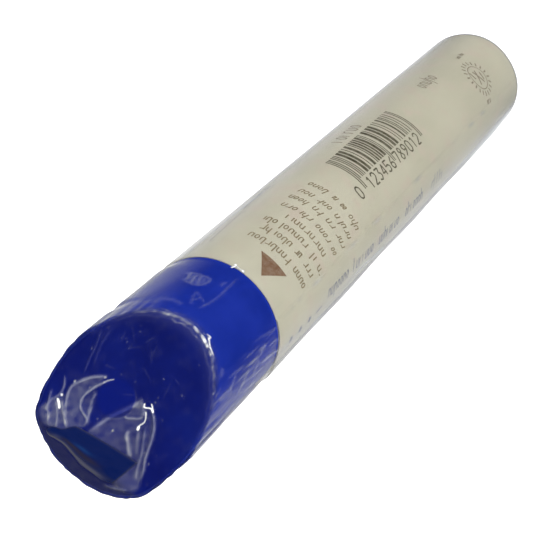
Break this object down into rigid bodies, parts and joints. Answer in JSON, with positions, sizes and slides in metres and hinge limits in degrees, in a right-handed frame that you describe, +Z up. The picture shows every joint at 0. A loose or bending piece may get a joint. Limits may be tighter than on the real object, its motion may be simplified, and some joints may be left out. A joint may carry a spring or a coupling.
{
  "type": "oil paint stick",
  "caption": "Round bar of oil paint with a slanted end and blunt nose, in a glued paper sleeve and sealed in thin clear film.",
  "frame": {"origin": "centre of the flat foot that the stick stands on, on the outside of the film", "axes": "+Z up the stick's axis from the foot to the blunt nose, and the slanted face looks towards -Y"},
  "size_m": [0.02, 0.02, 0.1334],
  "materials": {
    "blue_paint": "waxy ultramarine oil paint, satin",
    "cream_paper": "cream printed paper, matt",
    "clear_film": "thin clear glossy film, slightly hazy where it is folded"
  },
  "bodies": {
    "root": {"paint_stick": "blue_paint", "paper_label": "cream_paper", "film_wrap": "clear_film"}
  },
  "joints": []
}
